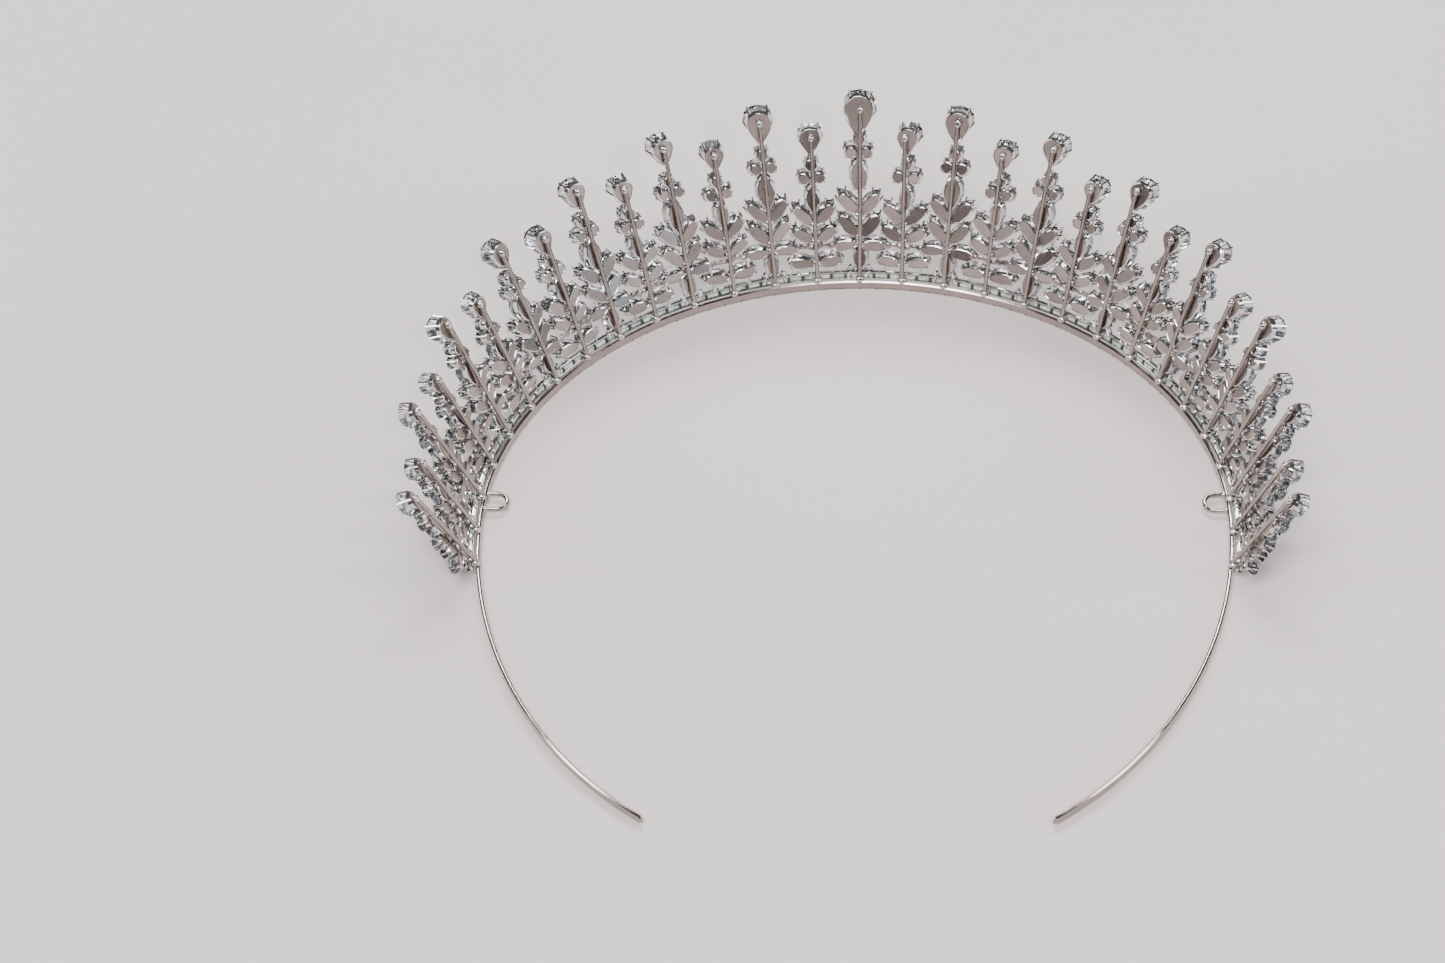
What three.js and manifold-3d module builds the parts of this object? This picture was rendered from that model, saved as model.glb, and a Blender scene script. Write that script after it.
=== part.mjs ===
// Bridal tiara: a springy open headband, a row of baguette crystals along it, and a wall of
// alternating tall and short sprays of closed-back stone settings, each on a round spine wire.
// Millimetres, +Z up. The headband lies flat with its lower edge at z = 0 and the front faces -Y.

import * as THREE from "three";
import * as BufferGeometryUtils from "three/addons/utils/BufferGeometryUtils.js";
import Module from "manifold-3d";

const wasm = await Module();
wasm.setup();

// Headband
const HALF_WIDTH = 70;
const FRONT_DEPTH = 65.5;
const BACK_DEPTH = 82;
const BAND_END_ANGLE = THREE.MathUtils.degToRad(150);
const BAND_THICKNESS = 0.7;
const BAND_HEIGHT = 1.8;
const BAND_STEPS = 64;

// Sprays
const SPRAY_COUNT = 29;
const SPRAY_PITCH = 8.45;
const INNER_REACH = 2;
const END_SHRINK = 0.43;
const SHRINK_POWER = 1.7;
const WIDTH_SHRINK_SHARE = 0.45;
const CENTRE_FLARE = THREE.MathUtils.degToRad(18.5);
const END_FLARE = THREE.MathUtils.degToRad(26);

// Spine wire and settings
const WIRE_RADIUS = 0.38;
const WIRE_SIDES = 6;
const GAP = 0.3;
const SETTING_BACK = 0.2;
const SETTING_DEPTH = 2.7;
const PEAR_DEPTH = 2.6;
const CRYSTAL_DEPTH = 1.3;
const CRYSTAL_TABLE = 0.6;
const TABLE_CENTRE = 0.55;
const SHOULDER_REACH = 0.9;
const LOWEST_SETTING = 1.7;
const LEAF_ROOT = 0.12;
const ROUND_SIDES = 6;
const OUTLINE_STEPS = 2;

const FLATNESS = 0.01;

// What each kind of spray carries. Heights are up the spine from the band's upper edge, drops are
// down from the pear's top, and leans are the leaves' angles from the spine in degrees.
const TALL = {
  height: 37.5,
  pear: { width: 5, length: 7.1 },
  trefoilDrop: 12,
  upright: { width: 3.5, length: 7.2, drop: 20.8 },
  leaves: [
    { width: 2.6, length: 5.9, height: 13.6, lean: 40 },
    { width: 2.6, length: 5.9, height: 9, lean: 42 },
    { width: 2.3, length: 5.4, height: 7.4, lean: 94 },
  ],
  foot: { width: 2.8, length: 5.4, cupRadius: 0.75, cupHeight: 2.6, cupSpread: 1.75, barHeight: 0.7 },
};
const OUTER = { ...TALL, pear: { width: 4.3, length: 5.9 } };
const CENTRE = { ...TALL, height: 39, pear: { width: 5.9, length: 9 } };
const SHORT = {
  height: 32.5,
  pear: { width: 4.1, length: 5.6 },
  trefoilDrop: 10.4,
  upright: { width: 2.7, length: 5.8, drop: 18 },
  leaves: [
    { width: 2.5, length: 5.6, height: 12, lean: 46 },
    { width: 2.4, length: 5, height: 8.4, lean: 58 },
    { width: 2.3, length: 5.4, height: 3.7, lean: 86 },
  ],
};
const TREFOIL_RADIUS = 1.35;
const TREFOIL_LIFT = 2.7;
const TREFOIL_SPREAD = 1.45;

// Baguette strip, in each spray's own leaning frame
const STRIP_LOW = 0.1;
const STRIP_HIGH = 1.4;
const STRIP_BACK = 0.75;
const STRIP_FRONT = 2.3;
const STRIP_OVERHANG = 3;
const STRIP_STEPS = 58;

// Hair-pin loops, each under the third spray from the end
const LOOP_WIRE_RADIUS = 0.4;
const LOOP_WIRE_SIDES = 6;
const LOOP_RING_RADIUS = 2;
const LOOP_REACH = 1.7;
const LOOP_LEG_SPREAD = 1.8;
const LOOP_ARC = 98;
const LOOP_STEPS = 14;
const LOOP_SWEEP_STEPS = 20;
const LOOP_LIFT = 0.9;
const LOOP_PLACE = 12 * SPRAY_PITCH;

const silver = new THREE.MeshStandardMaterial({ color: 0xd8d4cf, roughness: 0.18, metalness: 1 });
const crystal = new THREE.MeshStandardMaterial({ color: 0xf2f6f8, roughness: 0.03, metalness: 0 });

// The headband's centreline seen from above: half an ellipse in front of the ears and the start
// of a longer one behind them.
class HoopCurve extends THREE.Curve {
  constructor() {
    super();
    this.arcLengthDivisions = 800;
  }

  getPoint(u, target = new THREE.Vector3()) {
    const angle = (2 * u - 1) * BAND_END_ANGLE;
    const depth = Math.cos(angle) > 0 ? FRONT_DEPTH : BACK_DEPTH;
    return target.set(HALF_WIDTH * Math.sin(angle), -depth * Math.cos(angle), 0);
  }
}

const hoop = new HoopCurve();
const hoopLength = hoop.getLength();

// Frame on the hoop at a distance along it from the front: X along the band, Y up the spray,
// Z out of the spray's front. The origin is on the band's upper edge.
function hoopFrame(distance, flare) {
  const u = 0.5 + distance / hoopLength;
  const origin = hoop.getPointAt(u);
  origin.z = BAND_HEIGHT;
  const up = new THREE.Vector3(0, 0, 1);
  const along = hoop.getTangentAt(u);
  const outward = new THREE.Vector3().crossVectors(along, up);
  const rise = outward.clone().multiplyScalar(Math.sin(flare)).addScaledVector(up, Math.cos(flare));
  const front = new THREE.Vector3().crossVectors(along, rise);
  return new THREE.Matrix4().makeBasis(along, rise, front).setPosition(origin);
}

// How far round from the centre a spray stands, from 0 at the front to 1 at the last one.
function spreadAt(distance) {
  return Math.abs(distance) / (SPRAY_PITCH * (SPRAY_COUNT - 1) / 2);
}

function flareAt(distance) {
  return THREE.MathUtils.lerp(CENTRE_FLARE, END_FLARE, spreadAt(distance) ** 2);
}

function solidFrom(geometry) {
  const bare = geometry.clone();
  bare.deleteAttribute("normal");
  bare.deleteAttribute("uv");
  const merged = BufferGeometryUtils.mergeVertices(bare, 1e-4);
  const mesh = new wasm.Mesh({
    numProp: 3,
    vertProperties: merged.attributes.position.array,
    triVerts: new Uint32Array(merged.index.array),
  });
  return new wasm.Manifold(mesh);
}

function geometryFrom(solid) {
  const mesh = solid.simplify(FLATNESS).getMesh();
  const geometry = new THREE.BufferGeometry();
  geometry.setAttribute("position", new THREE.BufferAttribute(mesh.vertProperties, 3));
  geometry.setIndex(new THREE.BufferAttribute(mesh.triVerts, 1));
  geometry.computeVertexNormals();
  return geometry;
}

function joined(geometries) {
  return geometries.map(solidFrom).reduce((whole, next) => whole.add(next));
}

// Plate of an outline, from its back at the given depth towards the front.
function plate(shape, back, depth) {
  const options = { depth, bevelEnabled: false, curveSegments: OUTLINE_STEPS };
  return new THREE.ExtrudeGeometry(shape, options).translate(0, 0, back);
}

// Pointed oval from (0, 0) to (0, length).
function marquiseShape(width, length) {
  const shape = new THREE.Shape();
  shape.moveTo(0, 0);
  shape.quadraticCurveTo(width, length / 2, 0, length);
  shape.quadraticCurveTo(-width, length / 2, 0, 0);
  return shape;
}

// Pear with its point at (0, 0) and its round end up.
function pearShape(width, length) {
  const radius = width / 2;
  const shape = new THREE.Shape();
  const shoulder = length - radius;
  shape.moveTo(0, 0);
  shape.quadraticCurveTo(radius, shoulder - radius * SHOULDER_REACH, radius, shoulder);
  shape.quadraticCurveTo(radius, length, 0, length);
  shape.quadraticCurveTo(-radius, length, -radius, shoulder);
  shape.quadraticCurveTo(-radius, shoulder - radius * SHOULDER_REACH, 0, 0);
  return shape;
}

function marquiseSetting(width, length, x, y, turn) {
  const geometry = plate(marquiseShape(width, length), SETTING_BACK, SETTING_DEPTH);
  return geometry.rotateZ(turn).translate(x, y, 0);
}

function roundSetting(radius, x, y) {
  const geometry = new THREE.CylinderGeometry(radius, radius, SETTING_DEPTH, ROUND_SIDES);
  return geometry.rotateX(Math.PI / 2).translate(x, y, SETTING_BACK + SETTING_DEPTH / 2);
}

function trefoil(y) {
  return [
    roundSetting(TREFOIL_RADIUS, 0, y + TREFOIL_LIFT),
    roundSetting(TREFOIL_RADIUS, TREFOIL_SPREAD, y),
    roundSetting(TREFOIL_RADIUS, -TREFOIL_SPREAD, y),
  ];
}

// Two marquise leaves that spring from the spine wire at y, leaning out by the given angle.
function leafPair(leaf) {
  const lean = THREE.MathUtils.degToRad(leaf.lean);
  return [
    marquiseSetting(leaf.width, leaf.length, -LEAF_ROOT, leaf.height, lean),
    marquiseSetting(leaf.width, leaf.length, LEAF_ROOT, leaf.height, -lean),
  ];
}

// Upright marquise over the foot of a tall spray, and the two small cups that a bar ties to it.
function footSettings(foot) {
  const barWidth = 2 * foot.cupSpread;
  const barDepth = SETTING_DEPTH / 2;
  const bar = new THREE.BoxGeometry(barWidth, foot.barHeight, barDepth);
  return [
    marquiseSetting(foot.width, foot.length, 0, LOWEST_SETTING, 0),
    bar.translate(0, foot.cupHeight, SETTING_BACK + barDepth),
    roundSetting(foot.cupRadius, foot.cupSpread, foot.cupHeight),
    roundSetting(foot.cupRadius, -foot.cupSpread, foot.cupHeight),
  ];
}

function pearSetting(kind) {
  const pear = plate(pearShape(kind.pear.width, kind.pear.length), SETTING_BACK, PEAR_DEPTH);
  return pear.translate(0, kind.height - kind.pear.length, 0);
}

// All of a spray's settings at full size.
function settings(kind) {
  const { width, length, drop } = kind.upright;
  return [
    pearSetting(kind),
    ...trefoil(kind.height - kind.trefoilDrop),
    marquiseSetting(width, length, 0, kind.height - drop, 0),
    ...kind.leaves.flatMap(leafPair),
    ...(kind.foot ? footSettings(kind.foot) : []),
  ];
}

// What a spray carries: the tall ones beyond the first pair have smaller pears.
function kindAt(fromCentre, tall) {
  if (fromCentre === 0) {
    return CENTRE;
  }
  if (!tall) {
    return SHORT;
  }
  return Math.abs(fromCentre) > INNER_REACH ? OUTER : TALL;
}

// Where a spray stands and how much its place round the head shrinks it.
function sprayPlan(index) {
  const fromCentre = (SPRAY_COUNT - 1) / 2 - index;
  const along = fromCentre * SPRAY_PITCH;
  const tall = index % 2 === 0;
  const kind = kindAt(fromCentre, tall);
  const shrink = 1 - END_SHRINK * spreadAt(along) ** SHRINK_POWER;
  const narrow = 1 - (1 - shrink) * WIDTH_SHRINK_SHARE;
  return { along, tall, kind, shrink, narrow };
}

// Shrinks a spray's settings towards the lowest one.
function shrunk(geometry, plan) {
  geometry.translate(0, -LOWEST_SETTING, 0);
  geometry.scale(plan.narrow, plan.shrink, 1);
  return geometry.translate(0, LOWEST_SETTING, 0);
}

// Round wire from the band's edge to a third of the way down the pear's back.
function spineWire(plan) {
  const { height, pear } = plan.kind;
  const top = LOWEST_SETTING + (height - pear.length / 3 - LOWEST_SETTING) * plan.shrink;
  const length = top - GAP;
  const wire = new THREE.CylinderGeometry(WIRE_RADIUS, WIRE_RADIUS, length, WIRE_SIDES);
  return wire.translate(0, GAP + length / 2, 0);
}

function sprayCasting(plan) {
  const cups = settings(plan.kind).map((geometry) => shrunk(geometry, plan));
  return geometryFrom(joined([...cups, spineWire(plan)]));
}

// Pear crystal just proud of its cup: a girdle of the cup's outline with a smaller table in front.
function pearCrystal(plan) {
  const { height, pear } = plan.kind;
  const geometry = plate(pearShape(pear.width, pear.length), 0, CRYSTAL_DEPTH);
  const middle = pear.length * TABLE_CENTRE;
  const places = geometry.attributes.position;
  for (let i = 0; i < places.count; i += 1) {
    if (places.getZ(i) > CRYSTAL_DEPTH / 2) {
      places.setX(i, places.getX(i) * CRYSTAL_TABLE);
      places.setY(i, middle + (places.getY(i) - middle) * CRYSTAL_TABLE);
    }
  }
  geometry.translate(0, height - pear.length, SETTING_BACK + PEAR_DEPTH + GAP);
  return shrunk(geometry, plan);
}

// Flat strip bent on edge round the head.
function headband() {
  const shape = new THREE.Shape();
  const up = new THREE.Vector3(0, 0, 1);
  const edge = (u, offset) => {
    const outward = new THREE.Vector3().crossVectors(hoop.getTangentAt(u), up);
    return hoop.getPointAt(u).addScaledVector(outward, offset);
  };
  const outer = [];
  const inner = [];
  for (let i = 0; i <= BAND_STEPS; i += 1) {
    outer.push(edge(i / BAND_STEPS, BAND_THICKNESS / 2));
    inner.push(edge(i / BAND_STEPS, -BAND_THICKNESS / 2));
  }
  shape.setFromPoints([...outer, ...inner.reverse()]);
  return new THREE.ExtrudeGeometry(shape, { depth: BAND_HEIGHT, bevelEnabled: false });
}

// Channel of baguettes: a bar bent round the head, leaning outwards with the sprays.
function baguetteStrip() {
  const length = (SPRAY_COUNT - 1) * SPRAY_PITCH + STRIP_OVERHANG;
  const height = STRIP_HIGH - STRIP_LOW;
  const depth = STRIP_FRONT - STRIP_BACK;
  const bar = new THREE.BoxGeometry(length, height, depth, STRIP_STEPS, 1, 1);
  bar.translate(0, (STRIP_HIGH + STRIP_LOW) / 2, (STRIP_FRONT + STRIP_BACK) / 2);
  const places = bar.attributes.position;
  for (let i = 0; i < places.count; i += 1) {
    const along = places.getX(i);
    const place = new THREE.Vector3(0, places.getY(i), places.getZ(i));
    place.applyMatrix4(hoopFrame(along, flareAt(along)));
    places.setXYZ(i, place.x, place.y, place.z);
  }
  return geometryFrom(solidFrom(bar));
}

// Round wire bent into an eyelet, its two legs ending just short of the band's inner face.
function hairpinLoop() {
  const points = [new THREE.Vector3(LOOP_LEG_SPREAD, 0, 0)];
  const half = LOOP_STEPS / 2;
  for (let i = 0; i <= LOOP_STEPS; i += 1) {
    const angle = THREE.MathUtils.degToRad(((i - half) / half) * LOOP_ARC);
    const x = -LOOP_RING_RADIUS * Math.sin(angle);
    points.push(new THREE.Vector3(x, 0, -LOOP_REACH - LOOP_RING_RADIUS * Math.cos(angle)));
  }
  points.push(new THREE.Vector3(-LOOP_LEG_SPREAD, 0, 0));
  const section = new THREE.Shape();
  for (let i = 0; i < LOOP_WIRE_SIDES; i += 1) {
    const angle = (2 * Math.PI * i) / LOOP_WIRE_SIDES;
    const x = LOOP_WIRE_RADIUS * Math.cos(angle);
    const y = LOOP_WIRE_RADIUS * Math.sin(angle);
    if (i === 0) {
      section.moveTo(x, y);
    } else {
      section.lineTo(x, y);
    }
  }
  section.closePath();
  const path = new THREE.CatmullRomCurve3(points, false, "centripetal");
  const options = { steps: LOOP_SWEEP_STEPS, bevelEnabled: false, extrudePath: path };
  return new THREE.ExtrudeGeometry(section, options);
}

const tiara = new THREE.Group();

function addPart(name, geometry, material, frame) {
  const mesh = new THREE.Mesh(geometry, material);
  mesh.name = name;
  if (frame) {
    mesh.applyMatrix4(frame);
  }
  tiara.add(mesh);
}

addPart("headband", headband(), silver);
addPart("baguette_strip", baguetteStrip(), silver);

for (const [side, place] of [["left", 1], ["right", -1]]) {
  const frame = hoopFrame(place * LOOP_PLACE, 0);
  const inset = new THREE.Matrix4().makeTranslation(0, LOOP_LIFT - BAND_HEIGHT, -BAND_THICKNESS / 2 - GAP);
  addPart(`hairpin_loop_${side}`, hairpinLoop(), silver, frame.multiply(inset));
}

for (let i = 0; i < SPRAY_COUNT; i += 1) {
  const plan = sprayPlan(i);
  const frame = hoopFrame(plan.along, flareAt(plan.along));
  const number = String(i + 1).padStart(2, "0");
  addPart(`${plan.tall ? "tall" : "short"}_spray_${number}`, sprayCasting(plan), silver, frame);
  if (plan.tall) {
    addPart(`pear_crystal_${number}`, pearCrystal(plan), crystal, frame);
  }
}

// The origin goes under the middle of the whole tiara, on the surface that it lies on.
const middle = new THREE.Box3().setFromObject(tiara, true).getCenter(new THREE.Vector3());
tiara.position.set(-middle.x, -middle.y, 0);

export default tiara;
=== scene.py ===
"""Bridal tiara: headband, baguette strip, hair-pin loops and a wall of stone-set sprays.

Run as a script in Blender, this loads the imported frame, replaces its plain solids with finished
pieces made from bmesh operators, and lays the tiara on a pale studio floor.
"""

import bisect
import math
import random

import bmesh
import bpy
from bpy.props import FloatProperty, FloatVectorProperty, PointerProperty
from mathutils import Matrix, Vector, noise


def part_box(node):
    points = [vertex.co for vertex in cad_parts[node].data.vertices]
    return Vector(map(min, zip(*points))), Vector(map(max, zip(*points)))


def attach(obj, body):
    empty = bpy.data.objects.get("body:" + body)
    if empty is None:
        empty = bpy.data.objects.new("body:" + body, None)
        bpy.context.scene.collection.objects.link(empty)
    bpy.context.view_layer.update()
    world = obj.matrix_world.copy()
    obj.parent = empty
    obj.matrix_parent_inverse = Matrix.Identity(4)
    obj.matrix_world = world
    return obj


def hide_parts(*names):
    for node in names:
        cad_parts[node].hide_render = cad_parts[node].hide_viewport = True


bl_info = {
    "name": "Bridal Tiara",
    "version": (1, 0, 0),
    "blender": (4, 5, 0),
    "location": "3D View > Sidebar > Tiara",
    "description": "Builds the finished pieces of a bridal tiara round its packed frame",
    "category": "Add Mesh",
}

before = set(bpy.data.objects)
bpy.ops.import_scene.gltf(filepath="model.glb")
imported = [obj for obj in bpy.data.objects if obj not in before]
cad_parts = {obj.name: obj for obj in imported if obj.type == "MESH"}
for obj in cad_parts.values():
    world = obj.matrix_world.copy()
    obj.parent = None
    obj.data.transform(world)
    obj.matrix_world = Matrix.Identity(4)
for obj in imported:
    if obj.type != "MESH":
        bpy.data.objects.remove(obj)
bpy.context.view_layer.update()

MM = 0.001
BODY = "root"

# Headband, as seen from above: half an ellipse in front of the ears, a longer one behind them.
BAND_LOW, BAND_HIGH = (Vector(corner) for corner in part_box("headband"))
BAND_THICKNESS = 0.7 * MM
BAND_HEIGHT = BAND_HIGH.z
HALF_WIDTH = 70 * MM
FRONT_DEPTH = 65.5 * MM
BACK_DEPTH = 82 * MM
BAND_END_ANGLE = math.radians(150)
HOOP_CENTRE_Y = BAND_LOW.y + FRONT_DEPTH + BAND_THICKNESS / 2
HOOP_SAMPLES = 4000

# Where the sprays stand and how they lean and shrink towards the ears.
SPRAY_COUNT = 29
SPRAY_PITCH = 8.45 * MM
INNER_REACH = 2
CENTRE_FLARE = math.radians(18.5)
END_FLARE = math.radians(26)
END_SHRINK = 0.43
SHRINK_POWER = 1.7
WIDTH_SHRINK_SHARE = 0.45
STONE_SHRINK_SHARE = 0.55
LOWEST_SETTING = 1.7 * MM
SETTING_BACK = 0.62 * MM
SETTING_DEPTH = 2.75 * MM
PEAR_DEPTH = 3.4 * MM

# What each kind of spray carries, in millimetres. Heights are up the spine from the band's upper
# edge, drops are down from the pear's top, and leans are the leaves' angles from the spine.
TALL = {
    "height": 37.5,
    "pear": (5.0, 7.1),
    "trefoil_drop": 12.0,
    "upright": (3.5, 7.2, 20.8),
    "leaves": ((2.6, 5.9, 13.6, 40), (2.6, 5.9, 9.0, 42), (2.3, 5.4, 7.4, 94)),
    "foot": (2.8, 5.4),
}
OUTER = {**TALL, "pear": (4.3, 5.9)}
CENTRE = {**TALL, "height": 39.0, "pear": (5.9, 9.0)}
SHORT = {
    "height": 32.5,
    "pear": (4.1, 5.6),
    "trefoil_drop": 10.4,
    "upright": (2.7, 5.8, 18.0),
    "leaves": ((2.5, 5.6, 12.0, 46), (2.4, 5.0, 8.4, 58), (2.3, 5.4, 3.7, 86)),
    "foot": None,
}
TREFOIL_RADIUS = 1.24 * MM
TREFOIL_LIFT = 2.7 * MM
TREFOIL_SPREAD = 1.55 * MM
LEAF_GAP = 0.12
ROOT_RISE = 0.35 * MM
ROOT_DEPTH = 0.45 * MM
ROOT_RADII = (0.9 * MM, 0.65 * MM, 0.42 * MM)

# The two little stones beside a tall spray's foot, and the collets that hold them.
CULET_SIDES = 8
CULET_RADIUS = 0.85 * MM
CULET_POINT = 0.05 * MM
CULET_LENGTH = 1.5
CULET_CROWN = 0.45
CULET_HEIGHT = 2.75
CULET_SPREAD = 1.85 * MM
CULET_DEPTH = 0.9 * MM
COLLET_DROP = 1.1
COLLET_FOOT = 0.4 * MM
COLLET_RADIUS = 0.28 * MM

# The bars of solder that tie the tall sprays down to the strip and out to their neighbours.
TIE_SPREAD = 5.0 * MM
TIE_RADIUS = 0.3 * MM
TIE_FOOT = 0.6 * MM
TIE_STEP = 0.3 * MM
BRIDGE_HEIGHT = 7.6
BRIDGE_BEADS = 3
BRIDGE_WOBBLE = 0.25
BRIDGE_REACH = (0.62, 0.8)
BRIDGE_RISE = (0.45, 0.75)
BRIDGE_DEPTH = 0.35 * MM

# The spine wire's lean to one side, its end on the pear as a share of the pear's length, and the
# beads of solder at its ends, in wire radii.
SPINE_LEAN = 0.45
SPINE_END = 0.3
SPINE_FOOT = 0.05 * MM
TOP_BEAD = (1.6, 2.0, 1.6)
TOP_BEAD_DEPTH = 0.15 * MM
FOOT_BEAD = (2.2, 1.8, 1.9)
FOOT_BEAD_PLACE = (0, 0.3 * MM, 0.25 * MM)

# A setting is a closed back plate with a raised lip, claws and the stone that they hold. Its size
# is its back plate's, and all that is in front of the plate widens.
PLATE_DEPTH = 1.0 * MM
PLATE_EDGE = 0.17 * MM
EDGE_SLOPE = 0.7
FLARE = 0.17
LIP_WIDTH = 0.05 * MM
LIP_SLOPE = 0.05 * MM
LIP_DEPTH = 0.1 * MM
LIP_WOBBLE = 0.03
CASTINGS = 5
# Castings whose back plates take the darker copy of the satin: painted shade, standing in for
# plates tipped away from the light.
SHADED_CASTINGS = (1, 4)
PAVILION_REACH = 0.62
GIRDLE_REACH = 0.96
TABLE_REACH = 0.6
GIRDLE_DEPTH = 0.12 * MM
CROWN_RISE = 0.14
LEAST_SLOPE = 0.05
FACET_POINT = 0.02
SIZE_WOBBLE = 0.04
TURN_WOBBLE = math.radians(2.5)
TIP_WOBBLE = math.radians(4.5)

# Claws are tapered posts that end in a bead over the stone's edge. Their sizes are in claw radii,
# their foot is a share of the plate's depth, and their places round an outline are in degrees.
CLAW_SIDES = 5
CLAW_TAPER = 0.8
CLAW_FOOT = 0.45
CLAW_BEAD = 1.3
CLAW_LEAN = 0.5
CLAWS = {
    "marquise": (90, 42, 138, -42, -138),
    "leaf": (90, 48, 132, -42, -138),
    "pear": (60, 120, 8, 172, -52, -128),
    "round": (45, 135, 225, 315),
}
SEGMENTS = {"marquise": 16, "leaf": 16, "pear": 24, "round": 16}
STONE_SEGMENTS = {"marquise": 10, "pear": 14, "round": 8}

# Powers that give each outline its fullness, and the pear's greatest half width before scaling.
MARQUISE_FULLNESS = 0.82
PEAR_TAPER = 0.6
PEAR_WIDEST = 0.741
LEAF_BLUNTNESS = 0.45

# Lengths below these, in metres, count as none.
SAME_PLACE = 1e-9
ON_AXIS = 1e-6

# Solder is a little lumpy.
SOLDER_BUMP = 0.12
SOLDER_BUMP_SCALE = 900
SOLDER_BUMP_DETAIL = 1.3

SHARP_ANGLE = math.radians(32)

# Material slots of a spray's metal; the last is a darker copy of the satin, painted shade.
BRIGHT, SATIN, SOLDER, WIRE, SHADED_SATIN = range(5)
SPRAY_METALS = ("bright", "satin", "solder", "wire", "dull")
# The slot of the bars between the baguettes, painted near black as shade in the gaps, and of the
# loops' solder.
SECOND = 1

# Each metal's material, the colour it takes and a factor on it, the range of its roughness, and
# the scale, strength and stretch of its grain.
EVEN = (1, 1, 1)
METALS = {
    "bright": ("bright_rhodium", "bright", 1.0, (0.1, 0.2), 1400, 0.12, EVEN),
    "satin": ("satin_back", "satin", 1.0, (0.24, 0.36), 2600, 0.25, EVEN),
    "solder": ("solder", "bright", 0.95, (0.16, 0.28), 900, 0.3, EVEN),
    "wire": ("drawn_wire", "satin", 0.86, (0.15, 0.24), 1500, 0.2, EVEN),
    "band": ("band_polish", "satin", 0.98, (0.1, 0.18), 1800, 0.15, (1, 1, 6)),
    "loop": ("loop_wire", "satin", 0.8, (0.1, 0.18), 1500, 0.15, EVEN),
    # A darker copy of the satin backs: painted shade on some plates and solder bridges.
    "dull": ("dull_back", "satin", 0.7, (0.2, 0.3), 2600, 0.25, EVEN),
    # A near-black copy of the satin: painted shade on the bars between the baguettes.
    "shade": ("channel_shade", "satin", 0.25, (0.3, 0.45), 1800, 0.2, EVEN),
}
CLOUD_SCALE = 160
GLOSS_SCALE = 420
METAL_TONES = (0.86, 1.1)
GRAIN_DEPTH = 0.05 * MM
STONE_GLOSS_SCALE = 2500
NOISE_RANGE = (0.3, 0.7)


class TiaraSizes(bpy.types.PropertyGroup):
    """Sizes of the wire and sheet work that a maker would change."""

    wire_radius: FloatProperty(
        name="Spine wire radius", description="Radius of each spray's spine wire",
        default=0.43 * MM, min=0.1 * MM, unit="LENGTH", subtype="DISTANCE",
    )
    loop_wire_radius: FloatProperty(
        name="Loop wire radius", description="Radius of the hair-pin loops' wire",
        default=0.43 * MM, min=0.1 * MM, unit="LENGTH", subtype="DISTANCE",
    )
    loop_radius: FloatProperty(
        name="Loop radius", description="Radius of the round end of a hair-pin loop",
        default=2.0 * MM, min=0.5 * MM, unit="LENGTH", subtype="DISTANCE",
    )
    band_chamfer: FloatProperty(
        name="Band chamfer", description="Width of the chamfers along the headband's edges",
        default=0.3 * MM, min=0.02 * MM, unit="LENGTH", subtype="DISTANCE",
    )
    claw_radius: FloatProperty(
        name="Claw radius", description="Radius of the claws that hold the stones",
        default=0.24 * MM, min=0.05 * MM, unit="LENGTH", subtype="DISTANCE",
    )


class TiaraFinishes(bpy.types.PropertyGroup):
    """Colours of the metal and the stones."""

    bright: FloatVectorProperty(
        name="Bright plate", description="Colour of the polished rhodium plate",
        subtype="COLOR", size=3, min=0.0, max=1.0, default=(0.68, 0.655, 0.635),
    )
    satin: FloatVectorProperty(
        name="Satin backs", description="Colour of the closed backs of the settings",
        subtype="COLOR", size=3, min=0.0, max=1.0, default=(0.44, 0.375, 0.352),
    )
    stone: FloatVectorProperty(
        name="Crystal", description="Colour of the clear stones",
        subtype="COLOR", size=3, min=0.0, max=1.0, default=(0.8, 0.835, 0.865),
    )
    baguette: FloatVectorProperty(
        name="Baguettes", description="Colour of the rectangular stones",
        subtype="COLOR", size=3, min=0.0, max=1.0, default=(0.84, 0.96, 0.885),
    )


class TiaraStage(bpy.types.PropertyGroup):
    """Camera, floor and lights."""

    azimuth: FloatProperty(
        name="Azimuth", description="Turn of the camera from straight behind the tiara",
        default=math.radians(-1.83), subtype="ANGLE",
    )
    elevation: FloatProperty(
        name="Elevation", description="Height of the camera above the horizon",
        default=math.radians(46.29), subtype="ANGLE",
    )
    roll: FloatProperty(
        name="Roll", description="Roll of the camera about its view",
        default=math.radians(-1.22), subtype="ANGLE",
    )
    distance: FloatProperty(
        name="Distance", description="Distance from the camera to the hoop's middle",
        default=0.6003, unit="LENGTH", subtype="DISTANCE",
    )
    lens: FloatProperty(
        name="Focal length", description="Focal length in millimetres on a 36 mm sensor",
        default=79.5,
    )
    floor_colour: FloatVectorProperty(
        name="Floor", description="Colour of the studio floor",
        subtype="COLOR", size=3, min=0.0, max=1.0, default=(0.74, 0.67, 0.65),
    )


# ---------------------------------------------------------------------------------------------
# The hoop and the sprays' places on it
# ---------------------------------------------------------------------------------------------


def hoop_point(angle):
    """Point on the band's line at an angle round from the front."""
    depth = FRONT_DEPTH if math.cos(angle) > 0 else BACK_DEPTH
    return Vector((HALF_WIDTH * math.sin(angle), HOOP_CENTRE_Y - depth * math.cos(angle), 0))


def hoop_table():
    """Angles round the hoop, and how far along the band each one is from the front."""
    step = 2 * BAND_END_ANGLE / HOOP_SAMPLES
    angles = [-BAND_END_ANGLE + i * step for i in range(HOOP_SAMPLES + 1)]
    lengths = [0.0]
    for before, after in zip(angles, angles[1:]):
        lengths.append(lengths[-1] + (hoop_point(after) - hoop_point(before)).length)
    half = lengths[-1] / 2
    return angles, [length - half for length in lengths]


HOOP_ANGLES, HOOP_LENGTHS = hoop_table()
HOOP_HALF_LENGTH = HOOP_LENGTHS[-1]


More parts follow.
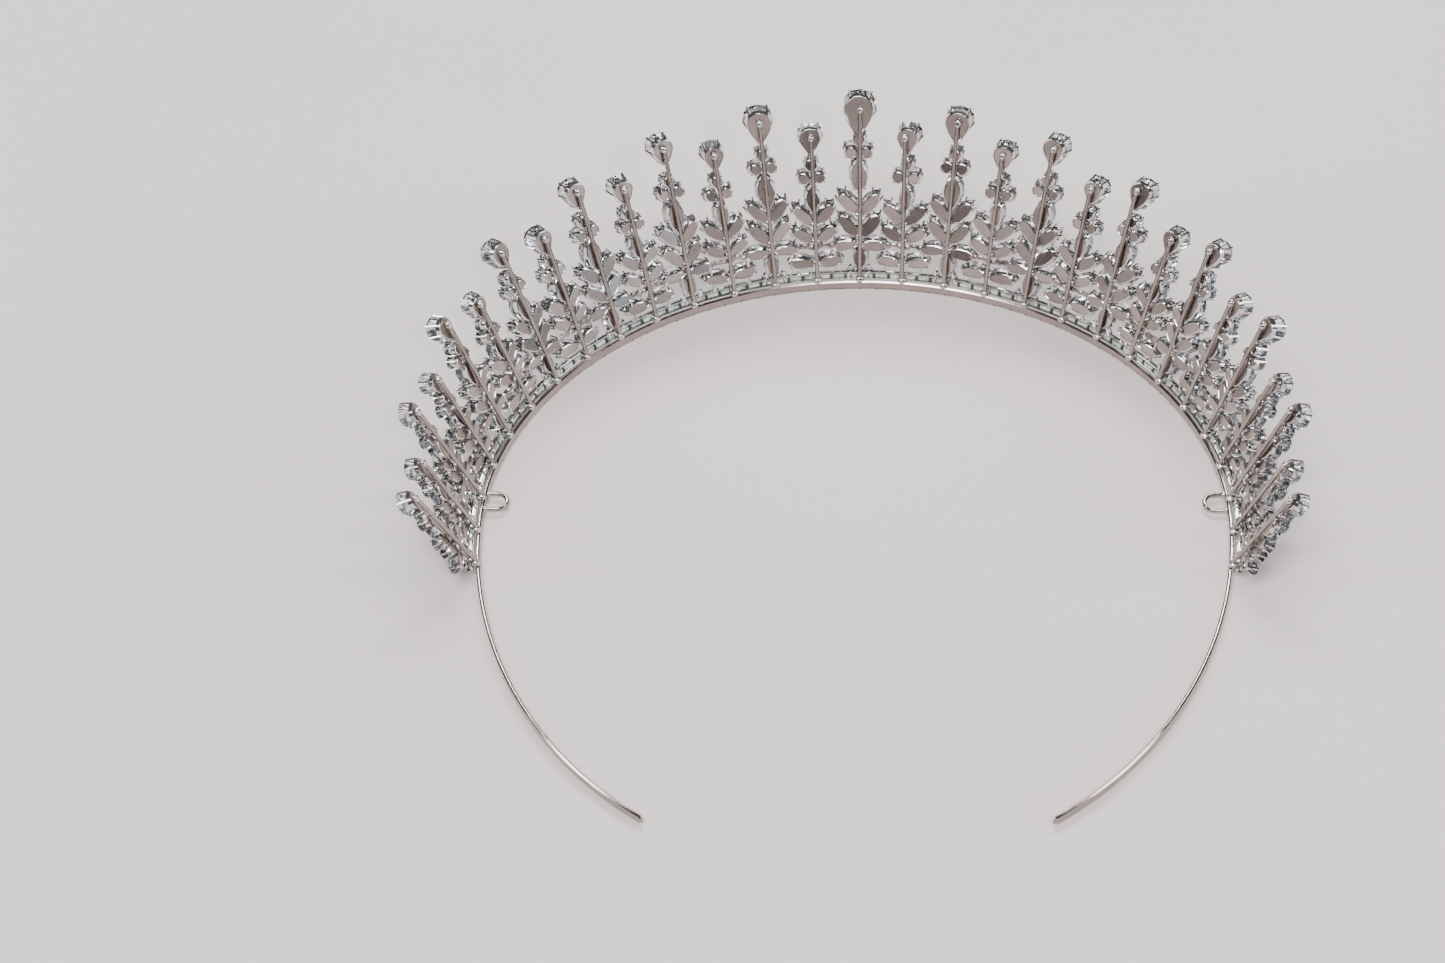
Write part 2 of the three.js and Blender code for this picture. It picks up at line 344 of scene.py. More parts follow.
def hoop_frame(along, flare):
    """X along the band, Y up the spray, Z out of its front; origin on the band's upper edge."""
    at = min(max(bisect.bisect(HOOP_LENGTHS, along), 1), HOOP_SAMPLES)
    share = (along - HOOP_LENGTHS[at - 1]) / (HOOP_LENGTHS[at] - HOOP_LENGTHS[at - 1])
    angle = HOOP_ANGLES[at - 1] + share * (HOOP_ANGLES[at] - HOOP_ANGLES[at - 1])
    depth = FRONT_DEPTH if math.cos(angle) > 0 else BACK_DEPTH
    run = Vector((HALF_WIDTH * math.cos(angle), depth * math.sin(angle), 0)).normalized()
    up = Vector((0, 0, 1))
    outward = run.cross(up)
    rise = outward * math.sin(flare) + up * math.cos(flare)
    front = run.cross(rise)
    place = hoop_point(angle) + up * BAND_HEIGHT
    return Matrix.Translation(place) @ Matrix((run, rise, front)).transposed().to_4x4()


def spread_at(along):
    """Share of the way from the middle spray to the last one."""
    return abs(along) / (SPRAY_PITCH * (SPRAY_COUNT - 1) / 2)


def flare_at(along):
    """How far the sprays lean outwards at a place on the band."""
    return CENTRE_FLARE + (END_FLARE - CENTRE_FLARE) * spread_at(along) ** 2


class SprayPlan:
    """What one spray carries, where it stands and how much its place shrinks it."""

    def __init__(self, index):
        from_centre = (SPRAY_COUNT - 1) / 2 - index
        self.index = index
        self.number = f"{index + 1:02d}"
        self.tall = index % 2 == 0
        self.kind = self.kind_at(from_centre)
        self.along = from_centre * SPRAY_PITCH
        self.shrink = 1 - END_SHRINK * spread_at(self.along) ** SHRINK_POWER
        self.narrow = 1 - (1 - self.shrink) * WIDTH_SHRINK_SHARE
        self.stone_scale = 1 - (1 - self.shrink) * STONE_SHRINK_SHARE
        self.frame = hoop_frame(self.along, flare_at(self.along))
        self.node = f"{'tall' if self.tall else 'short'}_spray_{self.number}"

    def kind_at(self, from_centre):
        """The tall sprays beyond the first pair have smaller pears."""
        if from_centre == 0:
            return CENTRE
        if not self.tall:
            return SHORT
        return OUTER if abs(from_centre) > INNER_REACH else TALL

    def lift(self, height):
        """Height on this spray of a place given in millimetres on a full-size one."""
        return LOWEST_SETTING + (height * MM - LOWEST_SETTING) * self.shrink


# ---------------------------------------------------------------------------------------------
# Mesh helpers
# ---------------------------------------------------------------------------------------------


def shade(bm, sharp_angle=SHARP_ANGLE):
    """Smooth faces with sharp edges where the surface turns."""
    for face in bm.faces:
        face.smooth = True
    for edge in bm.edges:
        edge.smooth = edge.is_manifold and edge.calc_face_angle(0) < sharp_angle


def mesh_from(bm, name):
    """Moves a bmesh into a new mesh."""
    mesh = bpy.data.meshes.new(name)
    bm.to_mesh(mesh)
    bm.free()
    return mesh


def placed(name, data):
    """Links a new object that shows a mesh, light or camera."""
    thing = bpy.data.objects.new(name, data)
    bpy.context.scene.collection.objects.link(thing)
    return thing


def finished(bm, name, materials, nodes):
    """Turns a bmesh in metres into a riding piece of the tiara."""
    mesh = mesh_from(bm, name)
    for material in materials:
        mesh.materials.append(material)
    piece = placed(name, mesh)
    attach(piece, BODY)
    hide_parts(*nodes)


def bevelled(bm, edges, offset, segments=1):
    """Cuts edges off by an even offset."""
    return bmesh.ops.bevel(
        bm, geom=edges, offset=offset, offset_type="OFFSET", affect="EDGES",
        segments=segments, profile=0.5, material=-1, clamp_overlap=True,
    )


def column(bm, segments, bottom, top, depth):
    """Capped column or cone round Z, its middle at the origin; gives back its points."""
    return bmesh.ops.create_cone(
        bm, cap_ends=True, cap_tris=False, segments=segments,
        radius1=bottom, radius2=top, depth=depth,
    )["verts"]


def long_edges(bm, least):
    """Edges longer than a length."""
    return [edge for edge in bm.edges if edge.calc_length() > least]


def block(bm, size):
    """Box of a size, its middle at the origin; gives back its points."""
    verts = bmesh.ops.create_cube(bm, size=1)["verts"]
    bmesh.ops.scale(bm, verts=verts, vec=size)
    return verts


def between(start, end):
    """Matrix that takes a column round Z to the line between two points."""
    turn = Vector((0, 0, 1)).rotation_difference(end - start).to_matrix().to_4x4()
    return Matrix.Translation((start + end) / 2) @ turn


def paint(verts, material):
    """Gives the faces round some points a material slot."""
    for vert in verts:
        for face in vert.link_faces:
            face.material_index = material


def stamp(bm, template, matrix):
    """Adds a copy of a template mesh to a bmesh."""
    copy = template.copy()
    copy.transform(matrix)
    bm.from_mesh(copy)
    bpy.data.meshes.remove(copy)


def marquise_x(s):
    """Half width of a pointed oval at s from -1 to 1 up its length."""
    return max(1 - s * s, 0) ** MARQUISE_FULLNESS


def pear_x(s):
    """Half width of a pear, pointed at s = -1 and round at s = 1."""
    return round_x(s) * max((1 + s) / 2, 0) ** PEAR_TAPER / PEAR_WIDEST


def round_x(s):
    """Half width of a round."""
    return max(1 - s * s, 0) ** 0.5


def leaf_x(s):
    """Half width of a leaf, pointed at its root at s = -1 and blunt at its tip."""
    return marquise_x(s) if s < 0 else max(1 - s**3, 0) ** LEAF_BLUNTNESS


OUTLINES = {"marquise": marquise_x, "pear": pear_x, "round": round_x, "leaf": leaf_x}


def lay_out(verts, outline, width, length):
    """Moves points of a unit column onto an outline that widens towards the front."""
    half = OUTLINES[outline]
    for vert in verts:
        reach = vert.co.xy.length
        if reach < ON_AXIS:
            continue
        rise = max(-1.0, min(1.0, vert.co.y / reach))
        side = math.copysign(half(rise), vert.co.x) if abs(vert.co.x) > ON_AXIS else 0
        growth = 2 * FLARE * vert.co.z
        vert.co.x = side * (width + growth) / 2 * reach
        vert.co.y = rise * (length + growth) / 2 * reach


# ---------------------------------------------------------------------------------------------
# Settings and stones
# ---------------------------------------------------------------------------------------------


def caps_of(bm, segments):
    """A column's back and front caps."""
    caps = [face for face in bm.faces if len(face.verts) == segments]
    caps.sort(key=lambda face: face.calc_center_median().z)
    return caps[0], caps[-1]


def outline_point(outline, width, length, turn, depth):
    """Point on a setting's widening side."""
    angle = math.radians(turn)
    rise = math.sin(angle)
    side = math.copysign(OUTLINES[outline](rise), math.cos(angle))
    growth = 2 * FLARE * depth
    return Vector((side * (width + growth) / 2, rise * (length + growth) / 2, depth))


def add_claw(bm, foot, head, radius):
    """Tapered post from the plate's edge to a bead over the stone's edge."""
    post = column(bm, CLAW_SIDES, radius, radius * CLAW_TAPER, (head - foot).length)
    bmesh.ops.transform(bm, matrix=between(foot, head), verts=post)
    bead = bmesh.ops.create_icosphere(bm, subdivisions=1, radius=radius * CLAW_BEAD)["verts"]
    inward = Vector((head.x, head.y, 0)).normalized() * radius * CLAW_LEAN
    bmesh.ops.translate(bm, verts=bead, vec=head - inward)
    return bead


def cup_mesh(outline, width, length, depth, casting):
    """Closed back plate from z = 0 towards the front, and the claws that stand on its edge."""
    segments = SEGMENTS[outline]
    dice = random.Random(f"{outline} {casting}")
    bm = bmesh.new()
    column(bm, segments, 1, 1, PLATE_DEPTH)
    bmesh.ops.translate(bm, verts=bm.verts, vec=(0, 0, PLATE_DEPTH / 2))
    lay_out(bm.verts, outline, width, length)
    back, _ = caps_of(bm, segments)
    # The stretch makes the bevel shallower than 45 degrees.
    bmesh.ops.scale(bm, verts=bm.verts, vec=(1, 1, 1 / EDGE_SLOPE))
    bevelled(bm, back.edges[:], PLATE_EDGE)
    bmesh.ops.scale(bm, verts=bm.verts, vec=(1, 1, EDGE_SLOPE))
    back, _ = caps_of(bm, segments)
    bmesh.ops.inset_region(bm, faces=[back], thickness=LIP_WIDTH, use_even_offset=True)
    bmesh.ops.inset_region(bm, faces=[back], thickness=LIP_SLOPE, use_even_offset=True)
    bmesh.ops.translate(bm, verts=back.verts, vec=(0, 0, LIP_DEPTH))
    for vert in back.verts:
        pull = 1 - dice.uniform(0, 2 * LIP_WOBBLE)
        vert.co.x *= pull
        vert.co.y *= pull
    # Some castings' backs take the darker copy of the satin, as painted shade.
    back.material_index = SHADED_SATIN if casting in SHADED_CASTINGS else SATIN
    claw_radius = bpy.context.scene.tiara_sizes.claw_radius
    beads = []
    for turn in CLAWS[outline]:
        foot = outline_point(outline, width, length, turn, PLATE_DEPTH * CLAW_FOOT)
        head = outline_point(outline, width, length, turn, depth)
        beads.extend(add_claw(bm, foot, head, claw_radius))
    shade(bm)
    back.smooth = False
    for vert in beads:
        for edge in vert.link_edges:
            edge.smooth = True
    return mesh_from(bm, "cup")


def stone_mesh(outline, width, length, depth, segments):
    """Faceted stone: pavilion on the plate, girdle between the claws, crown and table."""
    bm = bmesh.new()
    pavilion = depth - PLATE_DEPTH - GIRDLE_DEPTH
    column(bm, segments, PAVILION_REACH, GIRDLE_REACH, pavilion)
    bmesh.ops.translate(bm, verts=bm.verts, vec=(0, 0, PLATE_DEPTH + pavilion / 2))
    for rise, reach in ((GIRDLE_DEPTH, 1), (CROWN_RISE * width, TABLE_REACH)):
        top = caps_of(bm, segments)[1]
        ring = bmesh.ops.extrude_discrete_faces(bm, faces=[top])["faces"][0]
        bmesh.ops.translate(bm, verts=ring.verts, vec=(0, 0, rise))
        bmesh.ops.scale(bm, verts=ring.verts, vec=(reach, reach, 1))
    sides = [face for face in bm.faces if len(face.verts) == 4]
    slopes = [face for face in sides if abs(face.normal.z) > LEAST_SLOPE]
    lay_out(bm.verts, outline, width, length)
    bm.normal_update()
    bmesh.ops.poke(bm, faces=slopes, offset=FACET_POINT * width)
    return mesh_from(bm, "stone")


def culet_mesh(radius):
    """Small round brilliant whose point is up, along +Y."""
    bm = bmesh.new()
    column(bm, CULET_SIDES, radius, CULET_POINT, CULET_LENGTH * radius)
    back, _ = caps_of(bm, CULET_SIDES)
    crown = bmesh.ops.extrude_discrete_faces(bm, faces=[back])["faces"][0]
    bmesh.ops.translate(bm, verts=crown.verts, vec=(0, 0, -CULET_CROWN * radius))
    bmesh.ops.scale(bm, verts=crown.verts, vec=(TABLE_REACH, TABLE_REACH, 1))
    upright = Matrix.Rotation(-math.pi / 2, 3, "X")
    bmesh.ops.rotate(bm, verts=bm.verts, cent=(0, 0, 0), matrix=upright)
    bmesh.ops.recalc_face_normals(bm, faces=bm.faces)
    return mesh_from(bm, "culet")


TEMPLATES = {}


def templates(outline, width, length, depth, casting):
    """Cup and stone of one size and casting, made once."""
    key = (outline, round(width / MM, 3), round(length / MM, 3), round(depth / MM, 3), casting)
    if key not in TEMPLATES:
        cup = cup_mesh(outline, width, length, depth, casting)
        cut = "marquise" if outline == "leaf" else outline
        stone = stone_mesh(cut, width, length, depth, STONE_SEGMENTS[cut])
        TEMPLATES[key] = (cup, stone)
    return TEMPLATES[key]


class SprayBuilder:
    """Collects one spray's metal and stones in the spray's own leaning frame."""

    def __init__(self, plan):
        self.plan = plan
        self.metal = bmesh.new()
        self.stones = bmesh.new()
        self.dice = random.Random(plan.number)

    def setting(self, outline, width, length, place, turn=0.0, depth=SETTING_DEPTH):
        """A cup and its stone, their middle at the place, a little uneven as hand-set ones are."""
        casting = self.dice.randrange(CASTINGS)
        cup, stone = templates(outline, width, length, depth, casting)
        wobble = self.dice.uniform
        scale = self.plan.stone_scale * (1 + wobble(-SIZE_WOBBLE, SIZE_WOBBLE))
        matrix = (
            Matrix.Translation((place[0], place[1], SETTING_BACK))
            @ Matrix.Rotation(turn + wobble(-TURN_WOBBLE, TURN_WOBBLE), 4, "Z")
            @ Matrix.Rotation(wobble(-TIP_WOBBLE, TIP_WOBBLE), 4, "X")
            @ Matrix.Rotation(wobble(-TIP_WOBBLE, TIP_WOBBLE), 4, "Y")
            @ Matrix.Scale(scale, 4)
        )
        stamp(self.metal, cup, matrix)
        stamp(self.stones, stone, matrix)

    def leaf_pair(self, width, length, height, lean):
        """Two leaves that spring from the spine wire, and the solder at their roots."""
        plan = self.plan
        angle = math.radians(lean)
        run = Vector((math.sin(angle) * plan.narrow, math.cos(angle) * plan.shrink, 0))
        reach = (length / 2 + LEAF_GAP) * MM
        for side in (1, -1):
            middle = Vector((side * run.x * reach, plan.lift(height) + run.y * reach, 0))
            turn = -side * math.atan2(run.x, run.y)
            self.setting("leaf", width * MM, length * MM, middle, turn)
        root = (0, plan.lift(height) + ROOT_RISE, ROOT_DEPTH)
        add_bead(self.metal, root, ROOT_RADII, steps=(8, 6))

    def culet_stones(self):
        """The two little stones beside a tall spray's foot, points up, each in a small collet."""
        plan = self.plan
        if "culet" not in TEMPLATES:
            TEMPLATES["culet"] = culet_mesh(CULET_RADIUS)
        scale = Matrix.Scale(plan.stone_scale, 4)
        height = plan.lift(CULET_HEIGHT)
        for side in (1, -1):
            place = Vector((side * CULET_SPREAD * plan.narrow, height, CULET_DEPTH))
            stamp(self.stones, TEMPLATES["culet"], Matrix.Translation(place) @ scale)
            head = place - Vector((0, COLLET_DROP * CULET_RADIUS, 0))
            foot = (place.x, COLLET_FOOT, place.z)
            add_rod(self.metal, head, foot, COLLET_RADIUS, segments=6)

    def ties(self):
        """Bars that tie a tall spray's lying leaves down to the strip and out to its neighbours."""
        plan = self.plan
        lying = plan.lift(plan.kind["leaves"][-1][2])
        spread = TIE_SPREAD * plan.narrow
        back = SETTING_BACK + TIE_STEP
        for side in (1, -1):
            neighbour = plan.index - side
            if not 0 <= neighbour < SPRAY_COUNT:
                continue
            foot = (side * spread, TIE_FOOT, back + TIE_STEP)
            head = Vector((side * spread, lying, back))
            add_rod(self.metal, foot, head, TIE_RADIUS, segments=8)
            self.bridge(SprayPlan(neighbour), head)

    def bridge(self, other, start):
        """Flat irregular bar from a lying leaf's tip towards the next spray's spine."""
        spine = other.frame @ Vector((0, other.lift(BRIDGE_HEIGHT), SETTING_BACK))
        end = self.plan.frame.inverted() @ spine
        for i in range(BRIDGE_BEADS):
            centre = start.lerp(end, (i + 0.5) / BRIDGE_BEADS)
            centre.y += self.dice.uniform(-BRIDGE_WOBBLE, BRIDGE_WOBBLE) * MM
            across = (end - start).length / BRIDGE_BEADS * self.dice.uniform(*BRIDGE_REACH)
            radii = (across, self.dice.uniform(*BRIDGE_RISE) * MM, BRIDGE_DEPTH)
            # Each bead takes the satin or its darker copy, painted shade.
            tone = self.dice.choice((SATIN, SHADED_SATIN))
            add_bead(self.metal, centre, radii, material=tone, steps=(10, 6))


def build_spray(plan):
    """A spray's settings from the pear down, with the solder between them."""
    builder = SprayBuilder(plan)
    kind = plan.kind
    scale = plan.stone_scale
    width, length = kind["pear"]
    top = plan.lift(kind["height"])
    builder.setting(
        "pear", width * MM, length * MM, (0, top - length * MM * scale / 2), depth=PEAR_DEPTH,
    )
    cups = plan.lift(kind["height"] - kind["trefoil_drop"])
    spread = TREFOIL_SPREAD * scale
    diameter = 2 * TREFOIL_RADIUS
    for x, y in ((0, TREFOIL_LIFT * plan.shrink), (spread, 0), (-spread, 0)):
        builder.setting("round", diameter, diameter, (x, cups + y))
    width, length, drop = kind["upright"]
    middle = plan.lift(kind["height"] - drop + length / 2)
    builder.setting("marquise", width * MM, length * MM, (0, middle))
    for leaf in kind["leaves"]:
        builder.leaf_pair(*leaf)
    if plan.tall:
        width, length = kind["foot"]
        middle = LOWEST_SETTING + length * MM * scale / 2
        builder.setting("marquise", width * MM, length * MM, (0, middle))
        builder.culet_stones()
        builder.ties()
    return builder


# ---------------------------------------------------------------------------------------------
# Wires and solder
# ---------------------------------------------------------------------------------------------


def add_rod(bm, start, end, radius, segments=12, material=BRIGHT):
    """Round rod between two points."""
    start = Vector(start)
    end = Vector(end)
    rod = column(bm, segments, radius, radius, (end - start).length)
    bmesh.ops.transform(bm, matrix=between(start, end), verts=rod)
    paint(rod, material)


def add_bead(bm, centre, radii, material=SOLDER, steps=(14, 10)):
    """Flattened drop of solder, a little uneven."""
    across, up = steps
    bead = bmesh.ops.create_uvsphere(bm, u_segments=across, v_segments=up, radius=1)["verts"]
    for vert in bead:
        bump = noise.noise(Vector(centre) * SOLDER_BUMP_SCALE + vert.co * SOLDER_BUMP_DETAIL)
        vert.co *= 1 + SOLDER_BUMP * bump
    place = Matrix.Translation(centre) @ Matrix.Diagonal((*radii, 1))
    bmesh.ops.transform(bm, matrix=place, verts=bead)
    paint(bead, material)


def build_spine(plan):
    """Spine wire, a little off true, with solder at its top and its foot."""
    bm = bmesh.new()
    dice = random.Random(plan.index)
    radius = bpy.context.scene.tiara_sizes.wire_radius
    pear_length = plan.kind["pear"][1] * plan.stone_scale
    top = plan.lift(plan.kind["height"]) - pear_length * MM * SPINE_END
    lean = dice.uniform(-SPINE_LEAN, SPINE_LEAN) * MM
    add_rod(bm, (0, SPINE_FOOT, 0), (lean, top, 0), radius, material=WIRE)
    add_bead(bm, (lean, top, TOP_BEAD_DEPTH), [radius * share for share in TOP_BEAD])
    add_bead(bm, FOOT_BEAD_PLACE, [radius * share for share in FOOT_BEAD])
    shade(bm)
    return bm


# ---------------------------------------------------------------------------------------------
# Materials
# ---------------------------------------------------------------------------------------------


def new_material(name):
    """A material with its nodes, its links and its shader."""
    material = bpy.data.materials.new(name)
    material.use_nodes = True
    nodes = material.node_tree.nodes
    return material, nodes, material.node_tree.links, nodes["Principled BSDF"]


def object_noise(nodes, links, scale, detail, stretch=EVEN):
    """Noise on the piece's own Object coordinates."""
    coordinates = nodes.new("ShaderNodeTexCoord")
    mapping = nodes.new("ShaderNodeMapping")
    mapping.inputs["Scale"].default_value = stretch
    texture = nodes.new("ShaderNodeTexNoise")
    texture.inputs["Scale"].default_value = scale
    texture.inputs["Detail"].default_value = detail
    links.new(coordinates.outputs["Object"], mapping.inputs["Vector"])
    links.new(mapping.outputs["Vector"], texture.inputs["Vector"])
    return texture.outputs["Fac"]


def ramp(nodes, links, source, colours, places=NOISE_RANGE):
    """Colour ramp from one colour to another over part of a noise's range."""
    node = nodes.new("ShaderNodeValToRGB")
    for element, place, colour in zip(node.color_ramp.elements, places, colours):
        element.position = place
        element.color = (*colour, 1)
    links.new(source, node.inputs["Fac"])
    return node.outputs["Color"]


def ranged(nodes, links, source, low, high):
    """Maps a noise onto a range of numbers."""
    node = nodes.new("ShaderNodeMapRange")
    node.inputs["From Min"].default_value = NOISE_RANGE[0]
    node.inputs["From Max"].default_value = NOISE_RANGE[1]
    node.inputs["To Min"].default_value = low
    node.inputs["To Max"].default_value = high
    links.new(source, node.inputs["Value"])
    return node.outputs["Result"]


def bumped(nodes, links, shader, source, strength, distance):
    """Adds a fine bump to a shader."""
    node = nodes.new("ShaderNodeBump")
    node.inputs["Strength"].default_value = strength
    node.inputs["Distance"].default_value = distance
    links.new(source, node.inputs["Height"])
    links.new(node.outputs["Normal"], shader.inputs["Normal"])


def tinted(colour, factor):
    """A lighter or darker tone of a colour."""
    return tuple(min(channel * factor, 1.0) for channel in colour)


def metal(name, colour, roughness, grain_scale, grain_strength, stretch):
    """Plated metal: cloudy colour and gloss, with a fine cast or brushed grain."""
    material, nodes, links, shader = new_material(name)
    shader.inputs["Metallic"].default_value = 1.0
    cloud = object_noise(nodes, links, CLOUD_SCALE, 3)
    tones = [tinted(colour, factor) for factor in METAL_TONES]
    links.new(ramp(nodes, links, cloud, tones), shader.inputs["Base Color"])
    gloss = ranged(nodes, links, object_noise(nodes, links, GLOSS_SCALE, 2), *roughness)
    links.new(gloss, shader.inputs["Roughness"])
    grain = object_noise(nodes, links, grain_scale, 3, stretch)
    bumped(nodes, links, shader, grain, grain_strength, GRAIN_DEPTH)
    return material


def polished(nodes, links, shader, roughness):
    """Gives a stone a faint unevenness of polish."""
    texture = object_noise(nodes, links, STONE_GLOSS_SCALE, 1)
    gloss = ranged(nodes, links, texture, *roughness)
    links.new(gloss, shader.inputs["Roughness"])


def crystal(name, colour):
    """Clear stone."""
    material, nodes, links, shader = new_material(name)
    shader.inputs["Transmission Weight"].default_value = 1.0
    shader.inputs["IOR"].default_value = 1.66
    texture = object_noise(nodes, links, 700, 1)
    tones = (tinted(colour, 0.93), tinted(colour, 1.0))
    links.new(ramp(nodes, links, texture, tones), shader.inputs["Base Color"])
    polished(nodes, links, shader, (0.005, 0.03))
    return material


def foiled(name, colour):
    """Greenish stone over bright foil, cloudy where the foil shows through."""
    material, nodes, links, shader = new_material(name)
    shader.inputs["Metallic"].default_value = 0.55
    shader.inputs["Transmission Weight"].default_value = 0.5
    shader.inputs["IOR"].default_value = 1.6
    texture = object_noise(nodes, links, 620, 2)
    tones = (tinted(colour, 0.55), tinted(colour, 1.04))
    links.new(ramp(nodes, links, texture, tones, (0.34, 0.56)), shader.inputs["Base Color"])
    polished(nodes, links, shader, (0.04, 0.12))
    return material


MATERIALS = {}


def finish(name):
    """The tiara's materials, made once."""
    if not MATERIALS:
        colours = bpy.context.scene.tiara_finishes
        for key, (label, source, factor, *rest) in METALS.items():
            MATERIALS[key] = metal(label, tinted(getattr(colours, source), factor), *rest)
        MATERIALS["stone"] = crystal("clear_crystal", colours.stone)
        MATERIALS["baguette"] = foiled("baguette_crystal", colours.baguette)
    return MATERIALS[name]


# ---------------------------------------------------------------------------------------------
# Operators
# ---------------------------------------------------------------------------------------------


def bend_along_band(bm, flare):
    """Bends a mesh laid out along X, with its height in Y, round the head."""
    for vert in bm.verts:
        x, y, z = vert.co
        lean = flare_at(x) if flare else 0.0
        vert.co = hoop_frame(x, lean) @ Vector((0, y, z))


class TIARA_OT_headband(bpy.types.Operator):
    """Bend the flat strip of the headband round the head, with chamfered edges and round ends"""

    bl_idname = "tiara.headband"
    bl_label = "Headband"

    nub_pitch = 3.45 * MM
    nub_radius = 0.2 * MM
    nub_drop = 0.02 * MM
    nub_inset = 0.1 * MM
    end_clearance = 0.2 * MM
    end_rounding = 0.46
    # A spread above 1 turns the chamfers to face more upwards than outwards.
    chamfer_spread = 1.45
    least_corner = math.radians(60)
    edge_break = 0.06 * MM
    least_turn = math.radians(45)
    cuts = 240
    sharp_angle = math.radians(20)

    def nubs(self, bm):
        """Little solder nubs along the lower inner edge, under the sprays."""
        count = 2 * int((SPRAY_COUNT - 1) * SPRAY_PITCH / 2 / self.nub_pitch) + 1
        for i in range(count):
            along = (i - count // 2) * self.nub_pitch
            nub = bmesh.ops.create_icosphere(bm, subdivisions=1, radius=self.nub_radius)
            place = (along, self.nub_drop - BAND_HEIGHT, -BAND_THICKNESS / 2 + self.nub_inset)
            bmesh.ops.translate(bm, verts=nub["verts"], vec=place)

    def execute(self, context):
        chamfer = context.scene.tiara_sizes.band_chamfer
        bm = bmesh.new()
        length = 2 * HOOP_HALF_LENGTH - self.end_clearance
        block(bm, (length, BAND_HEIGHT, BAND_THICKNESS))
        corners = [
            edge for edge in bm.edges
            if (edge.verts[0].co.xy - edge.verts[1].co.xy).length < SAME_PLACE
        ]
        bevelled(bm, corners, BAND_HEIGHT * self.end_rounding, segments=6)
        edges = [edge for edge in bm.edges if edge.calc_face_angle(0) > self.least_corner]
        bmesh.ops.scale(bm, verts=bm.verts, vec=(1, self.chamfer_spread, 1))
        bevelled(bm, edges, chamfer)
        bmesh.ops.scale(bm, verts=bm.verts, vec=(1, 1 / self.chamfer_spread, 1))
        turns = [
            edge for edge in long_edges(bm, HOOP_HALF_LENGTH)
            if edge.calc_face_angle(0) > self.least_turn
        ]
        bevelled(bm, turns, self.edge_break)
        lengthwise = long_edges(bm, HOOP_HALF_LENGTH)
        bmesh.ops.subdivide_edges(bm, edges=lengthwise, cuts=self.cuts, use_grid_fill=True)
        bmesh.ops.translate(bm, verts=bm.verts, vec=(0, -BAND_HEIGHT / 2, 0))
        self.nubs(bm)
        bend_along_band(bm, flare=False)
        shade(bm, self.sharp_angle)
        finished(bm, "band_strip", [finish("band")], ("headband",))
        return {"FINISHED"}


class TIARA_OT_baguette_strip(bpy.types.Operator):
    """Set the row of rectangular crystals between two rails along the band"""

    bl_idname = "tiara.baguette_strip"
    bl_label = "Baguette strip"

    stones_per_bay = 3
    low = 0.1 * MM
    high = 1.5 * MM
    back = 0.8 * MM
    front = 2.15 * MM
    rail = 0.24 * MM
    rail_rounding = 0.3
    overhang = 1.3 * MM
    cuts = 170
    claw_radius = 0.2 * MM
    claw_lean = 0.1 * MM
    bar_width = 0.16 * MM
    bar_depth = 0.5 * MM
    bar_step = 0.3 * MM
    stone_gap = 0.2 * MM
    stone_cut = 0.3 * MM
    stone_tilt = 2.5
    count = (SPRAY_COUNT - 1) * stones_per_bay
    pitch = SPRAY_PITCH / stones_per_bay
    middle = (low + high) / 2
    middle_depth = (front + back) / 2

    def rails(self):
        """The two rails, the claws along them and the bars between the stones, painted near black
        as shade.
        """
        bm = bmesh.new()
        length = (SPRAY_COUNT - 1) * SPRAY_PITCH + 2 * self.overhang
        for height in (self.low, self.high):
            rail = block(bm, (length, self.rail, self.front - self.back))
            bmesh.ops.translate(bm, verts=rail, vec=(0, height, self.middle_depth))
        bevelled(bm, bm.edges[:], self.rail * self.rail_rounding, segments=2)
        lengthwise = long_edges(bm, length / 2)
        bmesh.ops.subdivide_edges(bm, edges=lengthwise, cuts=self.cuts, use_grid_fill=True)
        for i in range(self.count + 1):
            along = (i - self.count / 2) * self.pitch
            for height in (self.low, self.high):
                claw = bmesh.ops.create_uvsphere(
                    bm, u_segments=6, v_segments=5, radius=self.claw_radius,
                )
                lean = math.copysign(self.claw_lean, self.middle - height)
                place = (along, height + lean, self.front + self.claw_lean)
                bmesh.ops.translate(bm, verts=claw["verts"], vec=place)
            bar = block(bm, (self.bar_width, self.high - self.low, self.bar_depth))
            place = (along, self.middle, self.back + self.bar_step)
            bmesh.ops.translate(bm, verts=bar, vec=place)
            # The bars take the near-black copy of the satin: painted shade in the gaps between the
            # stones.
            paint(bar, SECOND)
        bend_along_band(bm, flare=True)
        shade(bm)
        return bm

    def stones(self):
        """The row of step-cut stones, each a little off level."""
        bm = bmesh.new()
        height = self.high - self.low - self.rail
        size = (self.pitch - self.stone_gap, height, self.front - self.back)
        dice = random.Random(self.count)
        for i in range(self.count):
            along = (i + 0.5 - self.count / 2) * self.pitch
            edges = {edge for vert in block(bm, size) for edge in vert.link_edges}
            cut = bevelled(bm, list(edges), self.stone_cut)
            tilt = math.radians(dice.uniform(-self.stone_tilt, self.stone_tilt))
            place = Matrix.Translation((along, self.middle, self.middle_depth))
            turned = place @ Matrix.Rotation(tilt, 4, "X")
            bmesh.ops.transform(bm, matrix=turned, verts=cut["verts"])
        bend_along_band(bm, flare=True)
        return bm

    def execute(self, context):
        node = ("baguette_strip",)
        metals = [finish("bright"), finish("shade")]
        finished(self.rails(), "baguette_rails", metals, node)
        finished(self.stones(), "baguette_stones", [finish("baguette")], node)
        return {"FINISHED"}


def run_on(bm, edges, step):
    """Extrudes a ring of edges by a step and gives back the new ring."""
    grown = bmesh.ops.extrude_edge_only(bm, edges=edges)["geom"]
    bmesh.ops.translate(
        bm, verts=[part for part in grown if isinstance(part, bmesh.types.BMVert)], vec=step,
    )
    return [part for part in grown if isinstance(part, bmesh.types.BMEdge) and part.is_boundary]


